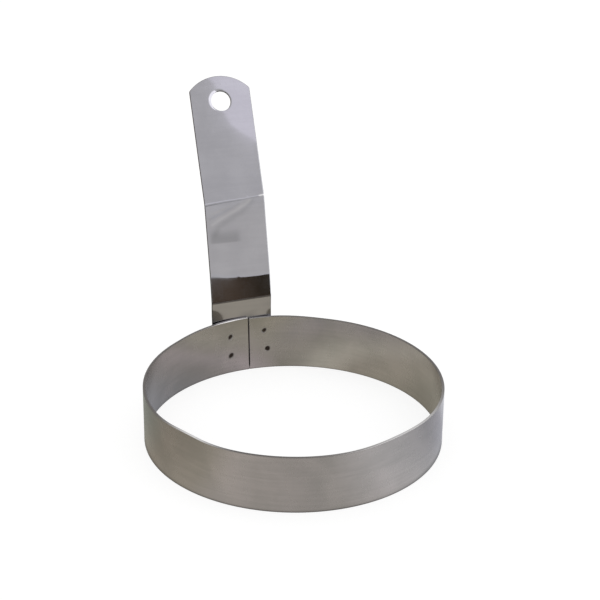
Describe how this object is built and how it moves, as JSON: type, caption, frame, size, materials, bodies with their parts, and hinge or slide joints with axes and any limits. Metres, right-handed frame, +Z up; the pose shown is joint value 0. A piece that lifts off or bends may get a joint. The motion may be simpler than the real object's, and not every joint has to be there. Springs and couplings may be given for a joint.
{
  "type": "egg ring",
  "caption": "Round steel ring that shapes eggs or pancakes on a griddle, with an upright folded strip handle spot welded behind its seam.",
  "frame": {"origin": "on the surface the band stands on, under the middle of the whole object's box", "axes": "+Z up along the ring's axis, +Y from the ring towards the handle, +X to the right as seen from the ring looking at the handle"},
  "size_m": [0.1294, 0.1775, 0.1282],
  "materials": {
    "band_steel": "rolled stainless sheet with a fine grain along the strip, satin",
    "handle_steel": "bright stainless sheet, smoother than the band, with light handling marks",
    "weld_metal": "dark brown oxide in small sunk pits"
  },
  "bodies": {
    "root": {"ring_band": "band_steel", "handle": "handle_steel", "spot_weld_upper_left": "weld_metal", "spot_weld_upper_right": "weld_metal", "spot_weld_lower_left": "weld_metal", "spot_weld_lower_right": "weld_metal"}
  },
  "joints": []
}
